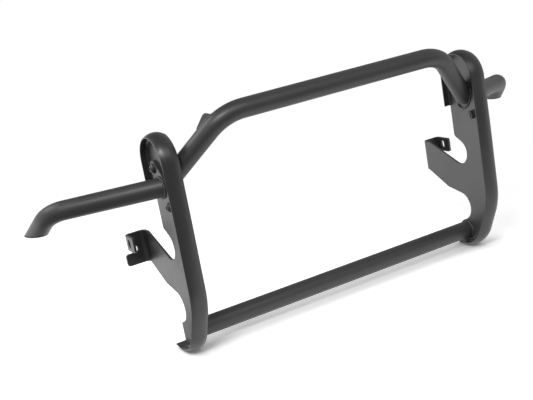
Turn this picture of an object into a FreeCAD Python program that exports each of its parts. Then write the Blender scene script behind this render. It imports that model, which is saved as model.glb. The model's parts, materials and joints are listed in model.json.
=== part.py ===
import FreeCAD, Part
import math
import os

# Front grille guard: two plate uprights joined by a bent top hoop and a straight crossbar,
# with a bolted-on wing tube outside each upright.
# X runs across the vehicle, -Y is the front, +Z is up, and sizes are in mm.
# The guard is laid out about the crossbar's axis.  The last step moves it so that the origin
# is the bottom centre of the whole guard.
# The right-hand side is modelled, and the left-hand side is its mirror image.

# Main sizes
UPRIGHT_X = 360.0
PLATE = 5.0
TUBE_RADIUS = 19.05
TUBE_WALL = 2.5

# Edge strap: a crowned flat bar wrapped round the plate's rear top, front and bottom
STRAP_WIDTH = 35.0
STRAP_EDGE = 2.5
STRAP_CROWN = 5.0
STRAP_CORNER = 1.0
STRAP_END_Z = 290.0
STRAP_TAIL = (30.5, -26.5)

# The strap's inner face is a line stretched round these rounds: y, z, radius
REAR_Y = 4.0
TOP_ROUND = (REAR_Y - 50.0, 357.0, 50.0)
FRONT_BOW = (2591.0, 235.0, 2688.0)
LOWER_ROUND = (46.0, 116.0, 142.0)
TOE_ROUND = (3.7, 40.0, 69.0)

# The plate's rear edge in the same way, where a negative radius turns to the right
UPPER_KINK = (REAR_Y - 8.0, 225.0, -8.0)
UPPER_NOTCH = (-3.0, 184.0, 28.5)
ARM_TOP_Z = 195.0
ARM_BOTTOM_Z = 128.0
ARM_TOP_CORNER = (103.0, ARM_TOP_Z - 11.0, -11.0)
ARM_LOWER_KINK = (44.0, 114.0, -20.0)
ARM_ROOT_Y = 44.0
LOWER_NOTCH = (11.0, 54.5, 32.0)
HEEL_KINK = (7.0, 16.0, -5.0)
HEEL_Y = 12.0
FAR = 700.0

# Mounting foot: the arm's end is bent outward, and its upper corner forward as a slotted tab
FOOT_REAR_Y = 128.0
FOOT_BEND = 9.0
EAR_REACH = 49.0
EAR_TOP_Z = 153.0
EAR_CORNER = 6.0
TAB_REACH = 43.0
TAB_BEND = 4.0
TAB_BOTTOM_Z = 163.5
TAB_FRONT_Y = 82.5
TAB_CORNER = 4.0
TAB_SLOT_Y = 105.0
TAB_SLOT_Z = 180.0
TAB_SLOT_WIDTH = 10.5
TAB_SLOT_LENGTH = 18.0
FOOT_SLOT_X = 25.0
FOOT_SLOT_Z = 160.0
FOOT_SLOT_WIDTH = 7.0
FOOT_SLOT_LENGTH = 12.0

# Top hoop, its bends and where its legs meet the uprights
HOOP_CORNER = (249.0, -120.0, 429.0)
HOOP_FOOT = (-45.0, 311.0)
HOOP_BEND = 85.0

# Flat lug on the outer side of each hoop bend, standing out behind the tube
LUG = 4.0
LUG_CENTRE = (280.2, -91.5, 419.0)
LUG_SLOPE = 40.0
LUG_LENGTH = 37.0
LUG_WIDTH = 33.0
LUG_TAPER = 11.0
LUG_CORNER = 6.0

# Wings: where the axis meets the upright, its rise per mm outward, and the bend.
# The tail is cut level at the end height.
WING_ROOT = (-50.0, 311.0)
WING_SLOPE = (0.591, -0.076)
WING_CORNER_X = 197.5
WING_TURN = (0.25, 0.75, -0.62)
WING_TAIL = 160.0
WING_BEND = 64.0
WING_END_Z = 252.5
CAP_RIM = 3.0
CAP_PLUG = 12.0
CAP_WALL = 2.0
CAP_CLEARANCE = 0.2

# Two-bolt flange at each wing's root, with its bolts placed about its centre
FLANGE = 6.0
FLANGE_CENTRE = (-48.5, 310.0)
BOLT_STEP = (21.5, 35.0)
FLANGE_TIP = 15.0
FLANGE_WAIST = 27.0

# M10 button-head bolts, nuts and washers
BOLT_RADIUS = 5.0
BOLT_HOLE_RADIUS = 5.5
HEAD_RADIUS = 8.75
HEAD_HEIGHT = 5.5
HEAD_RIM = 1.0
SOCKET_FLATS = 6.0
SOCKET_DEPTH = 3.1
NUT_FLATS = 16.0
NUT_HEIGHT = 8.4
NUT_CHAMFER = 1.0
WASHER_RADIUS = 10.0
WASHER = 2.0
THREAD_SHOWING = 1.5

# Weld beads
TUBE_BEAD = 3.2
STRAP_BEAD = 3.5


def vec(x, y, z):
    return FreeCAD.Vector(x, y, z)


# A line stretched round circles, in the YZ plane ----------------------------------------

def tangent_heading(a, b):
    """Heading, in degrees, of the straight run from round a to round b."""
    dy, dz = b[0] - a[0], b[1] - a[1]
    lean = math.asin((a[2] - b[2]) / math.hypot(dy, dz))
    return math.degrees(math.atan2(dz, dy) + lean)


def point_on(item, heading):
    """Point of a round where the line has this heading."""
    h = math.radians(heading)
    return vec(0, item[0] + item[2] * math.sin(h), item[1] - item[2] * math.cos(h))


def stretched(items, closed):
    """Edges of a line round (y, z, radius) items; radius 0 is a sharp point."""
    pairs = list(zip(items, items[1:] + items[:1]))
    if not closed:
        pairs = pairs[:-1]
    headings = [tangent_heading(a, b) for a, b in pairs]
    edges = []
    for i, (a, b) in enumerate(pairs):
        end = point_on(b, headings[i])
        edges.append(Part.LineSegment(point_on(a, headings[i]), end).toShape())
        if b[2] == 0 or (i == len(pairs) - 1 and not closed):
            continue
        leaving = headings[(i + 1) % len(headings)]
        turn = (leaving - headings[i]) % 360
        if b[2] < 0:
            turn -= 360
        middle = point_on(b, headings[i] + turn / 2)
        edges.append(Part.Arc(end, middle, point_on(b, leaving)).toShape())
    return edges


def slab(items, thickness):
    """Plate with a stretched outline in the YZ plane, centred on x = 0."""
    face = Part.Face(Part.Wire(stretched(items, True)))
    face.translate(vec(-thickness / 2, 0, 0))
    return face.extrude(vec(thickness, 0, 0))


def turned_to_xz(shape):
    """Turn a plate from the YZ plane into the XZ plane, with y becoming x."""
    return shape.rotated(vec(0, 0, 0), vec(0, 0, 1), -90)


# Tubes ----------------------------------------------------------------------------------

def bent_path(points, radius):
    """Straight runs joined by tangent arcs."""
    edges = []
    start = points[0]
    for before, corner, after in zip(points, points[1:], points[2:]):
        back = (before - corner).normalize()
        ahead = (after - corner).normalize()
        half = back.getAngle(ahead) / 2
        reach = radius / math.tan(half)
        middle = corner + (back + ahead).normalize() * (radius / math.sin(half) - radius)
        edges.append(Part.LineSegment(start, corner + back * reach).toShape())
        edges.append(Part.Arc(corner + back * reach, middle, corner + ahead * reach).toShape())
        start = corner + ahead * reach
    edges.append(Part.LineSegment(start, points[-1]).toShape())
    return Part.Wire(edges)


def rod(points, bend, radius):
    ring = Part.Wire(Part.makeCircle(radius, points[0], points[1] - points[0]))
    return bent_path(points, bend).makePipeShell([ring], True, False)


def tube(points, bend):
    return rod(points, bend, TUBE_RADIUS).cut(rod(points, bend, TUBE_RADIUS - TUBE_WALL))


def block(low, high):
    size = high - low
    return Part.makeBox(size.x, size.y, size.z, low)


def inside_of(shape, face_x):
    """The part of a shape between x = -face_x and x = face_x."""
    return shape.common(block(vec(-face_x, -FAR, -FAR), vec(face_x, FAR, FAR)))


def outside_of(shape, face_x):
    return shape.common(block(vec(face_x, -FAR, -FAR), vec(2 * FAR, FAR, FAR)))


def square_bead(face_x):
    """Quarter-round weld bead where a tube along X meets the plane x = face_x."""
    corner = vec(face_x, TUBE_RADIUS, 0)
    slant = TUBE_BEAD * math.sqrt(0.5)
    low, high = corner - vec(TUBE_BEAD, 0, 0), corner + vec(0, TUBE_BEAD, 0)
    outline = Part.Wire([Part.Arc(low, corner + vec(-slant, slant, 0), high).toShape(),
                         Part.LineSegment(high, corner).toShape(),
                         Part.LineSegment(corner, low).toShape()])
    return Part.Face(outline).revolve(vec(0, 0, 0), vec(1, 0, 0), 360)


def leaning_bead(centre, along, side):
    """Weld bead where a leaning tube meets a plane of constant x, kept clear on one side."""
    along = along.normalize()
    major = vec(0, along.y, along.z).normalize()
    minor = vec(1, 0, 0).cross(major)
    reach = TUBE_RADIUS / abs(along.x)
    ring = Part.Ellipse(centre + major * reach, centre + minor * TUBE_RADIUS, centre)
    section = Part.Wire(Part.makeCircle(TUBE_BEAD, ring.value(0), ring.tangent(0)[0]))
    bead = Part.Wire(ring.toShape()).makePipeShell([section], True, False)
    tube_body = Part.makeCylinder(TUBE_RADIUS, 2 * FAR, centre - along * FAR, along)
    start = centre.x if side > 0 else centre.x - FAR
    behind = block(vec(start, -FAR, -FAR), vec(start + FAR, FAR, FAR))
    return bead.cut(tube_body).cut(behind)


# Uprights -------------------------------------------------------------------------------

def strap_line():
    """The strap's inner face: up the rear, over the top, down the front and under."""
    return [(REAR_Y, STRAP_END_Z, 0.0), TOP_ROUND, FRONT_BOW, LOWER_ROUND, TOE_ROUND,
            STRAP_TAIL + (0.0,)]


def upright_foot():
    """Bent end of the arm with the lower ear and the forward tab, about the plate's middle."""
    inner = FOOT_REAR_Y - PLATE - FOOT_BEND
    pivot = vec(PLATE / 2 + FOOT_BEND, inner, ARM_BOTTOM_Z)
    height = ARM_TOP_Z - ARM_BOTTOM_Z
    bend = Part.makeCylinder(FOOT_BEND + PLATE, height, pivot, vec(0, 0, 1), 90)
    bend = bend.cut(Part.makeCylinder(FOOT_BEND, height, pivot, vec(0, 0, 1), 90))
    bend = bend.rotated(pivot, vec(0, 0, 1), 90)

    tab_pivot_x = TAB_REACH - PLATE - TAB_BEND
    outline = [(pivot.x, ARM_BOTTOM_Z, 0.0),
               (EAR_REACH - EAR_CORNER, ARM_BOTTOM_Z + EAR_CORNER, EAR_CORNER),
               (EAR_REACH - EAR_CORNER, EAR_TOP_Z - EAR_CORNER, EAR_CORNER),
               (tab_pivot_x, EAR_TOP_Z, 0.0),
               (tab_pivot_x, ARM_TOP_Z, 0.0),
               (pivot.x, ARM_TOP_Z, 0.0)]
    wall = turned_to_xz(slab(outline, PLATE)).translated(vec(0, FOOT_REAR_Y - PLATE / 2, 0))

    tab_inner = FOOT_REAR_Y - PLATE - TAB_BEND
    tab_pivot = vec(tab_pivot_x, tab_inner, TAB_BOTTOM_Z)
    tab_height = ARM_TOP_Z - TAB_BOTTOM_Z
    corner = Part.makeCylinder(TAB_BEND + PLATE, tab_height, tab_pivot, vec(0, 0, 1), 90)
    corner = corner.cut(Part.makeCylinder(TAB_BEND, tab_height, tab_pivot, vec(0, 0, 1), 90))
    tab = slab([(tab_inner, TAB_BOTTOM_Z, 0.0),
                (tab_inner, ARM_TOP_Z, 0.0),
                (TAB_FRONT_Y + TAB_CORNER, ARM_TOP_Z - TAB_CORNER, TAB_CORNER),
                (TAB_FRONT_Y + TAB_CORNER, TAB_BOTTOM_Z + TAB_CORNER, TAB_CORNER)], PLATE)
    tab = tab.translated(vec(TAB_REACH - PLATE / 2, 0, 0))
    return bend.fuse([wall, corner, tab])


def upright_slot(y, z, width, length):
    """Cutter for an upright slot in a wall of the YZ plane."""
    half = (length - width) / 2
    return slab([(y, z - half, width / 2), (y, z + half, width / 2)], 4 * PLATE)


def upright_plate():
    flat_end = FOOT_REAR_Y - PLATE - FOOT_BEND
    strap_side = slab(strap_line() + [(FAR, STRAP_TAIL[1], 0.0), (FAR, STRAP_END_Z, 0.0)], PLATE)
    rear_side = slab([(REAR_Y, FAR, 0.0), UPPER_KINK, UPPER_NOTCH, ARM_TOP_CORNER,
                      (flat_end, ARM_TOP_Z, 0.0), (flat_end, ARM_BOTTOM_Z, 0.0),
                      ARM_LOWER_KINK, LOWER_NOTCH, HEEL_KINK,
                      (HEEL_Y, -FAR, 0.0), (-FAR, -FAR, 0.0), (-FAR, FAR, 0.0)], PLATE)
    arm = slab([(ARM_ROOT_Y, -FAR, 0.0), (FAR, -FAR, 0.0), (FAR, FAR, 0.0),
                (ARM_ROOT_Y, FAR, 0.0)], PLATE)
    plate = rear_side.common(strap_side.fuse(arm))
    tab_slot = upright_slot(TAB_SLOT_Y, TAB_SLOT_Z, TAB_SLOT_WIDTH, TAB_SLOT_LENGTH)
    foot_slot = turned_to_xz(upright_slot(FOOT_SLOT_X, FOOT_SLOT_Z, FOOT_SLOT_WIDTH,
                                          FOOT_SLOT_LENGTH))
    plate = plate.fuse(upright_foot()).removeSplitter()
    plate = plate.cut(tab_slot.translated(vec(TAB_REACH, 0, 0)))
    plate = plate.cut(foot_slot.translated(vec(0, FOOT_REAR_Y, 0)))
    plate = plate.translated(vec(UPRIGHT_X, 0, 0))
    for centre in bolt_centres():
        plate = plate.cut(Part.makeCylinder(BOLT_HOLE_RADIUS, 4 * PLATE,
                                            centre - vec(2 * PLATE, 0, 0), vec(1, 0, 0)))
    return plate


def strap():
    half = STRAP_WIDTH / 2
    edge_y = REAR_Y + STRAP_EDGE
    crown = vec(0, edge_y + STRAP_CROWN, STRAP_END_Z)
    r = STRAP_CORNER
    left, right = vec(-half, edge_y - r, STRAP_END_Z), vec(half, edge_y - r, STRAP_END_Z)
    left_in, right_in = left + vec(r, r, 0), right + vec(-r, r, 0)
    inner_left, inner_right = vec(-half, REAR_Y, STRAP_END_Z), vec(half, REAR_Y, STRAP_END_Z)
    bevel = r * (1 - math.sqrt(0.5))
    section = Part.Wire([
        Part.LineSegment(inner_right, right).toShape(),
        Part.Arc(right, right + vec(-bevel, r - bevel, 0), right_in).toShape(),
        Part.Arc(right_in, crown, left_in).toShape(),
        Part.Arc(left_in, left + vec(bevel, r - bevel, 0), left).toShape(),
        Part.LineSegment(left, inner_left).toShape(),
        Part.LineSegment(inner_left, inner_right).toShape()])
    path = Part.Wire(stretched(strap_line(), False))
    return path.makePipeShell([section], True, False).translated(vec(UPRIGHT_X, 0, 0))


def strap_welds():
    """Fillet beads on both sides of the plate, from its rear top to its heel."""
    beads = []
    path = Part.Wire(stretched(strap_line(), False))
    past_heel = block(vec(-STRAP_WIDTH, HEEL_Y, -FAR), vec(STRAP_WIDTH, FAR, 0))
    for side in (-1, 1):
        root = vec(side * PLATE / 2, REAR_Y, STRAP_END_Z)
        triangle = Part.makePolygon([root, root + vec(side * STRAP_BEAD, 0, 0),
                                     root + vec(0, -STRAP_BEAD, 0), root])
        beads.append(path.makePipeShell([triangle], True, False).cut(past_heel))
    return Part.makeCompound(beads).translated(vec(UPRIGHT_X, 0, 0))


# Hoop and crossbar ----------------------------------------------------------------------

def hoop_points():
    x, y, z = HOOP_CORNER
    foot_y, foot_z = HOOP_FOOT
    return [vec(-UPRIGHT_X, foot_y, foot_z), vec(-x, y, z), vec(x, y, z),
            vec(UPRIGHT_X, foot_y, foot_z)]


def hoop_lug():
    """Flat lug on the right-hand bend, sloping down outward, tapered and cut to the tube."""
    reach_y = LUG_WIDTH / 2 - LUG_CORNER
    reach_z = LUG_LENGTH / 2 - LUG_CORNER
    corners = [(y, z, LUG_CORNER) for y, z in ((reach_y - LUG_TAPER, -reach_z), (reach_y, reach_z),
                                               (-reach_y, reach_z), (-reach_y, -reach_z))]
    lug = slab(corners, LUG).translated(vec(-LUG / 2, 0, 0))
    lug = lug.rotated(vec(0, 0, 0), vec(0, 1, 0), LUG_SLOPE - 90)
    return lug.translated(vec(*LUG_CENTRE)).cut(rod(hoop_points(), HOOP_BEND, TUBE_RADIUS))


# Wings ----------------------------------------------------------------------------------

def wing_points():
    root = vec(UPRIGHT_X, *WING_ROOT)
    corner = root + vec(1, *WING_SLOPE) * WING_CORNER_X
    return [root, corner, corner + vec(*WING_TURN).normalize() * WING_TAIL]


def above(shape, z):
    return shape.common(block(vec(-FAR, -FAR, z), vec(2 * FAR, FAR, FAR)))


def between(shape, low_z, high_z):
    return shape.common(block(vec(-FAR, -FAR, low_z), vec(2 * FAR, FAR, high_z)))


def wing_tube():
    body = outside_of(tube(wing_points(), WING_BEND), UPRIGHT_X + PLATE / 2 + FLANGE)
    return above(body, WING_END_Z)


def wing_cap():
    rim = between(rod(wing_points(), WING_BEND, TUBE_RADIUS), WING_END_Z - CAP_RIM, WING_END_Z)
    bore = TUBE_RADIUS - TUBE_WALL - CAP_CLEARANCE
    plug = rod(wing_points(), WING_BEND, bore)
    plug = plug.cut(rod(wing_points(), WING_BEND, bore - CAP_WALL))
    return rim.fuse(between(plug, WING_END_Z - CAP_RIM / 2, WING_END_Z + CAP_PLUG))


def bolt_centres():
    y, z = FLANGE_CENTRE
    step_y, step_z = BOLT_STEP
    return [vec(UPRIGHT_X, y + s * step_y, z + s * step_z) for s in (-1, 1)]


def wing_flange():
    low, high = bolt_centres()
    waist = FLANGE_CENTRE + (FLANGE_WAIST,)
    outline = [(low.y, low.z, FLANGE_TIP), waist, (high.y, high.z, FLANGE_TIP), waist]
    flange = slab(outline, FLANGE)
    flange = flange.translated(vec(UPRIGHT_X + PLATE / 2 + FLANGE / 2, 0, 0))
    for centre in (low, high):
        flange = flange.cut(Part.makeCylinder(BOLT_HOLE_RADIUS, FAR, centre, vec(1, 0, 0)))
    return flange


def hexagon(flats, height):
    """Hexagonal bar standing on x = 0."""
    corner = flats / math.sqrt(3)
    angles = [math.radians(60 * k) for k in range(7)]
    ring = [vec(0, corner * math.cos(a), corner * math.sin(a)) for a in angles]
    return Part.Face(Part.makePolygon(ring)).extrude(vec(height, 0, 0))


def bolt():
    """Button-head bolt, its head outside the wing flange; x = 0 is the upright's middle."""
    head_x = PLATE / 2 + FLANGE + WASHER
    end_x = -(PLATE / 2 + WASHER + NUT_HEIGHT + THREAD_SHOWING)
    rise = HEAD_HEIGHT - HEAD_RIM
    dome_radius = (HEAD_RADIUS ** 2 + rise ** 2) / (2 * rise)
    dome = Part.makeSphere(dome_radius, vec(head_x + HEAD_HEIGHT - dome_radius, 0, 0))
    barrel = Part.makeCylinder(HEAD_RADIUS, HEAD_HEIGHT, vec(head_x, 0, 0), vec(1, 0, 0))
    socket = hexagon(SOCKET_FLATS, SOCKET_DEPTH)
    socket = socket.translated(vec(head_x + HEAD_HEIGHT - SOCKET_DEPTH, 0, 0))
    head = barrel.common(dome).cut(socket)
    shank = Part.makeCylinder(BOLT_RADIUS, head_x - end_x, vec(end_x, 0, 0), vec(1, 0, 0))
    return head.fuse(shank)


def washer(x):
    ring = Part.makeCylinder(WASHER_RADIUS, WASHER, vec(x, 0, 0), vec(1, 0, 0))
    return ring.cut(Part.makeCylinder(BOLT_HOLE_RADIUS, WASHER, vec(x, 0, 0), vec(1, 0, 0)))


def nut():
    """Chamfered nut against the washer on the upright's inner face."""
    reach = NUT_FLATS / math.sqrt(3) - NUT_CHAMFER + NUT_HEIGHT
    cone = Part.makeCone(reach, 0, reach, vec(0, 0, 0), vec(1, 0, 0))
    bore = Part.makeCylinder(BOLT_RADIUS, NUT_HEIGHT, vec(0, 0, 0), vec(1, 0, 0))
    body = hexagon(NUT_FLATS, NUT_HEIGHT).common(cone).cut(bore)
    body = body.mirror(vec(0, 0, 0), vec(1, 0, 0))
    return body.translated(vec(-(PLATE / 2 + WASHER), 0, 0))


def at_bolts(shape):
    return Part.makeCompound([shape.translated(centre) for centre in bolt_centres()])


# Assembly -------------------------------------------------------------------------------

def right_hand_parts():
    foot = vec(UPRIGHT_X, *HOOP_FOOT)
    corner = vec(*HOOP_CORNER)
    inner_face = UPRIGHT_X - PLATE / 2
    hoop_lean = foot - corner
    hoop_touch = foot - hoop_lean * (PLATE / 2 / hoop_lean.x)
    wing_face = UPRIGHT_X + PLATE / 2 + FLANGE
    wing_lean = vec(1, *WING_SLOPE)
    wing_touch = vec(UPRIGHT_X, *WING_ROOT) + wing_lean * (wing_face - UPRIGHT_X)
    return {
        "upright_plate": upright_plate(),
        "edge_strap": strap(),
        "strap_weld": strap_welds(),
        "hoop_lug": hoop_lug(),
        "hoop_weld": leaning_bead(hoop_touch, hoop_lean, 1),
        "crossbar_weld": square_bead(inner_face),
        "wing_tube": wing_tube(),
        "wing_cap": wing_cap(),
        "wing_flange": wing_flange(),
        "wing_weld": leaning_bead(wing_touch, wing_lean, -1),
        "flange_bolts": at_bolts(bolt()),
        "head_washers": at_bolts(washer(PLATE / 2 + FLANGE)),
        "nut_washers": at_bolts(washer(-PLATE / 2 - WASHER)),
        "flange_nuts": at_bolts(nut()),
    }


def whole_guard():
    inner_face = UPRIGHT_X - PLATE / 2
    ends = [vec(-inner_face, 0, 0), vec(inner_face, 0, 0)]
    parts = {
        "hoop_tube": inside_of(tube(hoop_points(), HOOP_BEND), inner_face),
        "crossbar_tube": tube(ends, 0),
    }
    for name, shape in right_hand_parts().items():
        parts[name + "_right"] = shape
        parts[name + "_left"] = shape.mirror(vec(0, 0, 0), vec(1, 0, 0))
    return parts


def main():
    parts = whole_guard()
    extent = Part.makeCompound(list(parts.values())).optimalBoundingBox()
    to_origin = vec(-extent.Center.x, -extent.Center.y, -extent.ZMin)
    os.makedirs("parts", exist_ok=True)
    for name, shape in parts.items():
        shape.translated(to_origin).exportStep("parts/" + name + ".step")


main()
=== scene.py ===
import json
import math

import bmesh
import bpy
from mathutils import Matrix, Vector


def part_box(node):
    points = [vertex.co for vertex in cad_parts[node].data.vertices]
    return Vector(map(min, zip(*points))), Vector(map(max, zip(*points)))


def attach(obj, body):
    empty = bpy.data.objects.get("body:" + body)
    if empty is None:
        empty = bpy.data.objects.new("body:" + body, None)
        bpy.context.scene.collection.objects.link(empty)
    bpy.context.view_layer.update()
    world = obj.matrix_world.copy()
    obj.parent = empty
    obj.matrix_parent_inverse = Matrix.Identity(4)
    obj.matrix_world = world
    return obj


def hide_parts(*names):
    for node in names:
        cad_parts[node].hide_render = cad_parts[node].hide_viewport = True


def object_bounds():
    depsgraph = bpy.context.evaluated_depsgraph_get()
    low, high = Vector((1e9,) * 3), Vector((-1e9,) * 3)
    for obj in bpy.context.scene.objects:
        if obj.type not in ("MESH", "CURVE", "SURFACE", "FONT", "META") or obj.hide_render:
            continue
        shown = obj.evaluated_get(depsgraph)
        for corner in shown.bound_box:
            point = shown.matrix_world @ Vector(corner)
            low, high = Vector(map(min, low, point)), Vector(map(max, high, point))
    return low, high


# Looks of the front grille guard: textured black powder coat on tube, plate and strap,
# rippled weld beads, black fasteners and moulded end caps, on a plain white studio floor.
# Lengths are in metres.

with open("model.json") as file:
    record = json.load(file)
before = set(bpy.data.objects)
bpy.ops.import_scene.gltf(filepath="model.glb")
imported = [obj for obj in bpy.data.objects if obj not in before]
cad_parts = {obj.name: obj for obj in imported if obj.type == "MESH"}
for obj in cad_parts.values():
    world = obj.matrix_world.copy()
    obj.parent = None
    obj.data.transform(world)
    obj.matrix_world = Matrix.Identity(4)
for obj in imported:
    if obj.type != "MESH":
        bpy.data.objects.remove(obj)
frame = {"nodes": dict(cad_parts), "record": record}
cad_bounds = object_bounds()
nodes = frame["nodes"]
SIDES = ("left", "right")
MM = 0.001
WHITE = (1.0, 1.0, 1.0, 1.0)


# Node helpers ---------------------------------------------------------------------------

class Shader:
    """A node tree with short calls for adding nodes, maths and links."""

    def __init__(self, tree):
        self.tree = tree
        self.tree.nodes.clear()

    def add(self, kind, **settings):
        """Add a node. Each setting is one of its properties or else one of its inputs."""
        node = self.tree.nodes.new("ShaderNode" + kind)
        for name, value in settings.items():
            if hasattr(node, name):
                setattr(node, name, value)
            else:
                self.feed(value, node.inputs[name.replace("_", " ")])
        return node

    def feed(self, value, socket):
        """Link another node's output to a socket, or set a fixed value on it."""
        if isinstance(value, bpy.types.NodeSocket):
            self.tree.links.new(value, socket)
        else:
            socket.default_value = value

    def finish(self, kind, surface):
        self.feed(surface.outputs[0], self.add(kind).inputs["Surface"])

    def maths(self, operation, *values):
        node = self.add("Math", operation=operation)
        for value, socket in zip(values, node.inputs):
            self.feed(value, socket)
        return node.outputs[0]

    def axes(self, vector):
        """The X, Y and Z of a vector."""
        node = self.add("SeparateXYZ")
        self.feed(vector, node.inputs[0])
        return node.outputs["X"], node.outputs["Y"], node.outputs["Z"]

    def noise(self, place, scale, detail, roughness):
        return self.add("TexNoise", Vector=place, Scale=scale, Detail=detail,
                        Roughness=roughness).outputs["Fac"]

    def ramp(self, value, low, high, to_low=0.0, to_high=1.0, smooth=True):
        node = self.add("MapRange")
        node.interpolation_type = "SMOOTHSTEP" if smooth else "LINEAR"
        for socket, number in zip(node.inputs, (value, low, high, to_low, to_high)):
            self.feed(number, socket)
        return node.outputs[0]

    def mix(self, factor, first, second):
        """Mix two colours; sockets 0, 6, 7 and output 2 are the ones for colours."""
        node = self.add("Mix", data_type="RGBA")
        self.feed(factor, node.inputs[0])
        self.feed(first, node.inputs[6])
        self.feed(second, node.inputs[7])
        return node.outputs[2]

    def blend(self, kind, first, second, factor=None):
        """Mix or add two shader nodes."""
        node = self.add(kind)
        for shader_node, socket in zip((second, first), reversed(node.inputs)):
            self.feed(shader_node.outputs[0], socket)
        if factor is not None:
            self.feed(factor, node.inputs[0])
        return node

    def bump(self, height, distance, strength, normal):
        return self.add("Bump", Height=height, Distance=distance, Strength=strength,
                        Normal=normal).outputs[0]


def new_material(name):
    """An empty material, its node tree and the object's own coordinates in it."""
    material = bpy.data.materials.new(name)
    material.use_nodes = True
    shader = Shader(material.node_tree)
    return material, shader, shader.add("TexCoord").outputs["Object"]


def grey(value, warmth=0.0):
    return (value * (1 + warmth), value, value * (1 - warmth), 1.0)


# Materials ------------------------------------------------------------------------------

# Cosine between the true and the rounded normal, on an open face and on an edge.
OPEN_COSINE = 0.995
EDGE_COSINE = 0.86
BEVEL_SAMPLES = 4


def edge_mask(shader, radius):
    """The rounded normal, and 1 on edges within about this radius, 0 on open faces."""
    rounded = shader.add("Bevel", samples=BEVEL_SAMPLES, Radius=radius).outputs[0]
    flat = shader.add("NewGeometry").outputs["Normal"]
    dot = shader.add("VectorMath", operation="DOT_PRODUCT")
    shader.feed(rounded, dot.inputs[0])
    shader.feed(flat, dot.inputs[1])
    return rounded, shader.ramp(dot.outputs["Value"], OPEN_COSINE, EDGE_COSINE)


# Each noise: cells per metre, detail, roughness of the detail.
# NOISE_SPAN is the span of values that most of a noise lies in.
NOISE_SPAN = (0.3, 0.7)

# Powder coat. Tones are shares of the coat's own tone.
CLOUDS = (9.0, 4.0, 0.6)
FLECKS = (1500.0, 2.0, 0.6)
PEEL = (420.0, 3.0, 0.55)
SAND = (1100.0, 4.0, 0.7)
WEAR = (130.0, 5.0, 0.7)
CLOUD_DARK = 0.86
CLOUD_LIGHT = 1.16
CLOUD_WARMTH = 0.01
CLOUD_MATT = (-0.035, 0.045)
FLECK_SPAN = (0.58, 0.72)
FLECK_LIGHT = 2.0
FLECK_SHARE = 0.35
WEAR_SPAN = (0.45, 0.75)
# Edges are lighter in patches, partly as worn coat and partly as a painted edge highlight.
EDGE_WEAR_AND_HIGHLIGHT_TONE = 2.6
EDGE_WEAR_AND_HIGHLIGHT_SHARE = 0.5
WEAR_SHINE = 0.08
SAND_MATT = (-0.03, 0.03)
PEEL_SHARE = 0.6
COAT_BUMP = 0.55


def coated_metal(name, tone, gloss, grain, edge_radius, specular):
    """Textured black powder coat: fine grain, orange peel, cloudy tone and edges lighter in
    patches, partly worn coat and partly a painted edge highlight.
    """
    material, shader, place = new_material(name)
    clouds = shader.noise(place, *CLOUDS)
    flecks = shader.noise(place, *FLECKS)
    peel = shader.noise(place, *PEEL)
    sand = shader.noise(place, *SAND)
    wear = shader.ramp(shader.noise(place, *WEAR), *WEAR_SPAN)
    rounded, edge = edge_mask(shader, edge_radius)
    worn_and_highlit_edge = shader.maths("MULTIPLY", edge, wear)

    colour = shader.mix(clouds, grey(tone * CLOUD_DARK, -CLOUD_WARMTH),
                        grey(tone * CLOUD_LIGHT, CLOUD_WARMTH))
    colour = shader.mix(shader.ramp(flecks, *FLECK_SPAN, 0.0, FLECK_SHARE),
                        colour, grey(tone * FLECK_LIGHT))
    # Lighter edges in patches: partly worn coat, partly a painted edge highlight.
    colour = shader.mix(shader.maths("MULTIPLY", worn_and_highlit_edge, EDGE_WEAR_AND_HIGHLIGHT_SHARE),
                        colour, grey(tone * EDGE_WEAR_AND_HIGHLIGHT_TONE, CLOUD_WARMTH))

    matt = shader.ramp(clouds, *NOISE_SPAN, gloss + CLOUD_MATT[0], gloss + CLOUD_MATT[1])
    matt = shader.maths("ADD", matt, shader.ramp(sand, *NOISE_SPAN, *SAND_MATT))
    matt = shader.maths("SUBTRACT", matt, shader.maths("MULTIPLY", worn_and_highlit_edge, WEAR_SHINE))

    relief = shader.maths("ADD", shader.maths("MULTIPLY", peel, PEEL_SHARE),
                          shader.maths("MULTIPLY", sand, 1.0 - PEEL_SHARE))
    normal = shader.bump(relief, grain, COAT_BUMP, rounded)
    shader.finish("OutputMaterial", shader.add(
        "BsdfPrincipled", Base_Color=colour, Roughness=matt, Normal=normal,
        Specular_IOR_Level=specular))
    return material


# Black oxide.
STAINS = (160.0, 4.0, 0.6)
TURNING_MARKS = (2600.0, 2.0, 0.6)
MARK_DEPTH = 0.05 * MM
MARK_BUMP = 0.5
STAIN_DARK = 0.7
STAIN_LIGHT = 1.4
STAIN_WARMTH = 0.03
STAIN_MATT = (0.24, 0.36)
CORNER_RADIUS = 0.7 * MM
# Corners are lighter: partly worn oxide, partly a painted glint.
CORNER_WEAR_AND_GLINT_TONE = 3.5
CORNER_WARMTH = 0.02
CORNER_WEAR_AND_GLINT_SHARE = 0.45
OXIDE_METALLIC = 0.6


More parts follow.
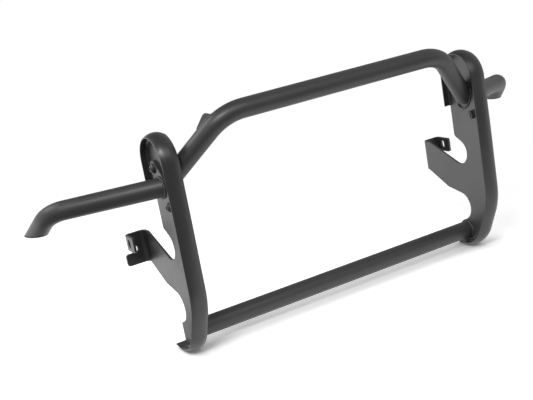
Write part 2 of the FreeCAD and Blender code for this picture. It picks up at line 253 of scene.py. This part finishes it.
def black_oxide(name, tone):
    """Fasteners: dark oxide with fine turning marks and brighter corners, partly worn oxide
    and partly a painted glint.
    """
    material, shader, place = new_material(name)
    stain = shader.noise(place, *STAINS)
    marks = shader.noise(place, *TURNING_MARKS)
    rounded, edge = edge_mask(shader, CORNER_RADIUS)
    colour = shader.mix(stain, grey(tone * STAIN_DARK),
                        grey(tone * STAIN_LIGHT, STAIN_WARMTH))
    # Lighter corners: partly worn oxide, partly a painted glint.
    colour = shader.mix(shader.maths("MULTIPLY", edge, CORNER_WEAR_AND_GLINT_SHARE),
                        colour, grey(tone * CORNER_WEAR_AND_GLINT_TONE, CORNER_WARMTH))
    matt = shader.ramp(stain, *NOISE_SPAN, *STAIN_MATT)
    normal = shader.bump(marks, MARK_DEPTH, MARK_BUMP, rounded)
    shader.finish("OutputMaterial", shader.add(
        "BsdfPrincipled", Base_Color=colour, Roughness=matt, Normal=normal,
        Metallic=OXIDE_METALLIC))
    return material


# Moulded plastic.
MOULD_CLOUDS = (60.0, 3.0, 0.5)
MOULD_DARK = 0.8
MOULD_LIGHT = 1.2
MOULD_WARMTH = -0.01
MOULD_MATT = (0.55, 0.66)
GRAIN_SCALE = 900.0
GRAIN_DEPTH = 0.08 * MM
GRAIN_BUMP = 0.4
CAP_EDGE_RADIUS = 0.8 * MM
# Cap edges are lighter as a painted highlight.
CAP_EDGE_HIGHLIGHT_TONE = 2.2
CAP_EDGE_HIGHLIGHT_SHARE = 0.3


def moulded_plastic(name, tone):
    """End caps: black plastic with a spark-eroded grain and a painted highlight on their
    edges.
    """
    material, shader, place = new_material(name)
    clouds = shader.noise(place, *MOULD_CLOUDS)
    cells = shader.add("TexVoronoi", Vector=place, Scale=GRAIN_SCALE).outputs["Distance"]
    rounded, edge = edge_mask(shader, CAP_EDGE_RADIUS)
    colour = shader.mix(clouds, grey(tone * MOULD_DARK),
                        grey(tone * MOULD_LIGHT, MOULD_WARMTH))
    # Painted highlight: the cap's edges are lightened.
    colour = shader.mix(shader.maths("MULTIPLY", edge, CAP_EDGE_HIGHLIGHT_SHARE),
                        colour, grey(tone * CAP_EDGE_HIGHLIGHT_TONE))
    matt = shader.ramp(clouds, *NOISE_SPAN, *MOULD_MATT)
    normal = shader.bump(cells, GRAIN_DEPTH, GRAIN_BUMP, rounded)
    shader.finish("OutputMaterial", shader.add(
        "BsdfPrincipled", Base_Color=colour, Roughness=matt, Normal=normal))
    return material


MATERIALS = {
    "tube_coat": coated_metal("tube_powder_coat", tone=0.031, gloss=0.44, grain=0.16 * MM,
                              edge_radius=1.0 * MM, specular=0.65),
    "strap_coat": coated_metal("strap_powder_coat", tone=0.026, gloss=0.36, grain=0.16 * MM,
                               edge_radius=1.2 * MM, specular=0.6),
    "plate_coat": coated_metal("plate_powder_coat", tone=0.021, gloss=0.42, grain=0.20 * MM,
                               edge_radius=0.9 * MM, specular=0.85),
    "weld_coat": coated_metal("weld_powder_coat", tone=0.022, gloss=0.24, grain=0.22 * MM,
                              edge_radius=0.5 * MM, specular=0.7),
    "fastener": black_oxide("black_oxide_steel", tone=0.060),
    "cap_plastic": moulded_plastic("moulded_black_plastic", tone=0.020),
}


def dress(piece, slot):
    piece.data.materials.clear()
    piece.data.materials.append(MATERIALS[slot])


for part in frame["record"]["subparts"]:
    dress(nodes[part["node"]], part["material_slot"])


# Rippled weld beads ---------------------------------------------------------------------

RIPPLE = 0.8 * MM
RIPPLE_STEP = 3.8 * MM
BEAD_VOXEL = 0.55 * MM
BEAD_SMOOTHING = 2


def fine_mesh(piece):
    """The piece's mesh in even small faces."""
    remesh = piece.modifiers.new("fine", "REMESH")
    remesh.mode = "VOXEL"
    remesh.voxel_size = BEAD_VOXEL
    piece.modifiers.new("even", "SMOOTH").iterations = BEAD_SMOOTHING
    bpy.context.view_layer.update()
    evaluated = piece.evaluated_get(bpy.context.evaluated_depsgraph_get())
    mesh = bpy.data.meshes.new_from_object(evaluated)
    piece.modifiers.clear()
    return mesh


def rippled_bead(node):
    """Fine copy of a ring-shaped bead, raised in overlapping ripples round its ring."""
    low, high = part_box(node)
    centre = (low + high) / 2
    piece = bpy.data.objects.new(node + "_rippled", nodes[node].data.copy())
    bpy.context.scene.collection.objects.link(piece)
    piece.data = fine_mesh(piece)
    ring = math.pi * (high.y - low.y + high.z - low.z) / 2
    count = round(ring / RIPPLE_STEP)
    for vertex, normal in [(v, v.normal.copy()) for v in piece.data.vertices]:
        out = vertex.co - centre
        turn = math.atan2(out.z, out.y) * count / (2 * math.pi)
        crest = 1.0 - 2.0 * abs(turn % 1.0 - 0.5)
        vertex.co += normal * RIPPLE * (crest - 0.5)
    for face in piece.data.polygons:
        face.use_smooth = True
    dress(piece, "weld_coat")
    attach(piece, "root")
    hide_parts(node)


for ring_node in ("hoop_weld", "crossbar_weld", "wing_weld"):
    for side in SIDES:
        rippled_bead(ring_node + "_" + side)


# Floor ----------------------------------------------------------------------------------

FLOOR_RADIUS = 14.0
FLOOR_SIDES = 96
FLOOR_GAP = 0.3 * MM
FLOOR_CLOUDS = (3.0, 2.0, 0.5)
FLOOR_CLOUD_SWING = 0.01

# The floor as the camera sees it: matt near the guard with a painted contact shade, even
# white further out.
SEEN_FLOOR_TONE = 1.50
SEEN_FLOOR_LIFT = 0.14
BACKDROP = 1.02
BACKDROP_FROM = 0.75
BACKDROP_FULL = 1.9
# Painted contact shade: reach, samples, open level and darkest share of the ambient-occlusion
# darkening.
CONTACT_REACH = 0.12
CONTACT_SAMPLES = 16
CONTACT_OPEN = 0.92
CONTACT_DARKEST = 0.40

# The floor as a source of light on the guard: (from, to) in X, Y or a slanted line.
FLOOR_TONE = 0.87
FLOOR_LIFT = 0.43
FAR_GLOW = 0.20
REAR_GLOW = 1.60
NEAR_PATCH_LEFT = (-0.62, -0.30)
NEAR_PATCH_SLANT = 0.35
NEAR_PATCH_FRONT = (-0.85, -0.40)
REAR_PATCH_FRONT = (0.05, 0.35)
REAR_PATCH_RIGHT = (0.40, -0.20)


def lit_floor(shader, cloud, tone, lift):
    """Matt floor with a faint cloud and an even lift."""
    matt = shader.add("BsdfDiffuse", Color=shader.mix(
        cloud, grey(tone * (1 - FLOOR_CLOUD_SWING)), grey(tone * (1 + FLOOR_CLOUD_SWING))))
    return shader.blend("AddShader", matt, shader.add("Emission", Strength=lift))


def seen_floor(shader, place, cloud):
    """White floor with a painted contact shade under the guard, darker where ambient
    occlusion finds the guard near.
    """
    length = shader.add("VectorMath", operation="LENGTH")
    shader.feed(place, length.inputs[0])
    # Painted contact shade: ambient occlusion darkens the floor's colour near the guard.
    open_sky = shader.add("AmbientOcclusion", samples=CONTACT_SAMPLES, Distance=CONTACT_REACH)
    floor = shader.blend("MixShader", shader.add("Emission", Strength=0.0),
                         lit_floor(shader, cloud, SEEN_FLOOR_TONE, SEEN_FLOOR_LIFT),
                         shader.ramp(open_sky.outputs["AO"], 0.0, CONTACT_OPEN,
                                     CONTACT_DARKEST, 1.0, smooth=False))
    return shader.blend("MixShader", floor, shader.add("Emission", Strength=BACKDROP),
                        shader.ramp(length.outputs["Value"], BACKDROP_FROM, BACKDROP_FULL))


def glowing_floor(shader, place, cloud):
    """Floor that lights the guard: dark far out on the left and in front, bright behind."""
    across, depth, _ = shader.axes(place)
    slant = shader.maths("MULTIPLY_ADD", across, NEAR_PATCH_SLANT, depth)
    near = shader.maths("MULTIPLY", shader.ramp(across, *NEAR_PATCH_LEFT),
                        shader.ramp(slant, *NEAR_PATCH_FRONT))
    rear = shader.maths("MULTIPLY", shader.ramp(depth, *REAR_PATCH_FRONT),
                        shader.ramp(across, *REAR_PATCH_RIGHT))
    glow = shader.blend("MixShader", shader.add("Emission", Strength=FAR_GLOW),
                        lit_floor(shader, cloud, FLOOR_TONE, FLOOR_LIFT), near)
    return shader.blend("MixShader", glow, shader.add("Emission", Strength=REAR_GLOW), rear)


def plain_floor():
    """A broad flat disc under the guard, its rim far outside every view."""
    mesh = bpy.data.meshes.new("studio_floor")
    shape = bmesh.new()
    bmesh.ops.create_circle(shape, cap_ends=True, segments=FLOOR_SIDES, radius=FLOOR_RADIUS)
    shape.to_mesh(mesh)
    shape.free()
    floor = bpy.data.objects.new("studio_floor", mesh)
    floor.location.z = cad_bounds[0][2] - FLOOR_GAP
    bpy.context.scene.collection.objects.link(floor)

    material, shader, place = new_material("pale_floor")
    cloud = shader.noise(place, *FLOOR_CLOUDS)
    shader.finish("OutputMaterial", shader.blend(
        "MixShader", glowing_floor(shader, place, cloud), seen_floor(shader, place, cloud),
        shader.add("LightPath").outputs["Is Camera Ray"]))
    mesh.materials.append(material)


# Camera ---------------------------------------------------------------------------------

# It stands in front of the left wing, looks down a little and is rolled.
# Its place is given from the crossbar's axis.
CAMERA_FROM_CROSSBAR = Vector((-1.0162, -1.7798, 0.7388))
CAMERA_YAW = math.radians(26.35)
CAMERA_PITCH = math.radians(14.87)
CAMERA_ROLL = math.radians(-10.47)
CAMERA_LENS = 68.5
CAMERA_SENSOR = 36.0


def add_camera():
    low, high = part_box("crossbar_tube")
    ahead = Vector((math.sin(CAMERA_YAW) * math.cos(CAMERA_PITCH),
                    math.cos(CAMERA_YAW) * math.cos(CAMERA_PITCH),
                    -math.sin(CAMERA_PITCH)))
    level = Vector((math.cos(CAMERA_YAW), -math.sin(CAMERA_YAW), 0.0))
    upright = level.cross(ahead)
    right = level * math.cos(CAMERA_ROLL) + upright * math.sin(CAMERA_ROLL)
    up = upright * math.cos(CAMERA_ROLL) - level * math.sin(CAMERA_ROLL)
    turn = Matrix((right, up, -ahead)).transposed().to_4x4()
    data = bpy.data.cameras.new("camera")
    data.lens = CAMERA_LENS
    data.sensor_width = CAMERA_SENSOR
    camera = bpy.data.objects.new("camera", data)
    camera.matrix_world = Matrix.Translation((low + high) / 2 + CAMERA_FROM_CROSSBAR) @ turn
    bpy.context.scene.collection.objects.link(camera)
    bpy.context.scene.camera = camera


# Light ----------------------------------------------------------------------------------

LIGHT_TARGET = Vector((0.0, 0.0, 0.25))
SOFTBOXES = (  # name, place, width, height, watts
    ("front_softbox", (-1.4, -1.4, 2.0), 0.8, 0.7, 24.0),
    ("wide_softbox", (-0.3, -1.75, 1.9), 2.4, 1.2, 18.0),
    ("rear_softbox", (-1.95, 1.1, 2.1), 1.9, 1.2, 30.0),
)

# Glow of the room, and where it rises: (from, to) in a direction's X, Y or Z.
ROOM_GLOW = 0.14
RIGHT_GLOW = 0.65
RIGHT_X = (0.0, 1.0)
LEFT_GLOW = 0.6
LEFT_X = (-0.6, -0.95)
LEFT_Z = (-0.05, 0.15)
BEHIND_X = (0.45, 0.10)
BEHIND_Y = (0.2, 1.0)
BEHIND_Z = (0.45, 0.0)


def soft_light(name, place, width, height, watts):
    data = bpy.data.lights.new(name, "AREA")
    data.shape = "RECTANGLE"
    data.size = width
    data.size_y = height
    data.energy = watts
    light = bpy.data.objects.new(name, data)
    light.location = place
    light.rotation_euler = (LIGHT_TARGET - Vector(place)).to_track_quat("-Z", "Y").to_euler()
    bpy.context.scene.collection.objects.link(light)


def studio_world():
    """Dim room, brighter to both sides and low behind; the backdrop itself is white."""
    world = bpy.data.worlds.new("studio")
    world.use_nodes = True
    bpy.context.scene.world = world
    shader = Shader(world.node_tree)
    across, depth, height = shader.axes(shader.add("TexCoord").outputs["Generated"])
    right = shader.ramp(across, *RIGHT_X, ROOM_GLOW, RIGHT_GLOW)
    left = shader.maths("MULTIPLY", shader.ramp(across, *LEFT_X, 0.0, LEFT_GLOW),
                        shader.ramp(height, *LEFT_Z))
    behind = shader.ramp(depth, *BEHIND_Y, 0.0, REAR_GLOW)
    low = shader.maths("MULTIPLY", shader.ramp(height, *BEHIND_Z),
                       shader.ramp(across, *BEHIND_X))
    glow = shader.maths("ADD", right, shader.maths("MULTIPLY_ADD", behind, low, left))
    shader.finish("OutputWorld", shader.blend(
        "MixShader", shader.add("Background", Color=WHITE, Strength=glow),
        shader.add("Background", Color=WHITE, Strength=BACKDROP),
        shader.add("LightPath").outputs["Is Camera Ray"]))


plain_floor()
add_camera()
studio_world()
for softbox in SOFTBOXES:
    soft_light(*softbox)
bpy.context.scene.view_settings.view_transform = "Standard"
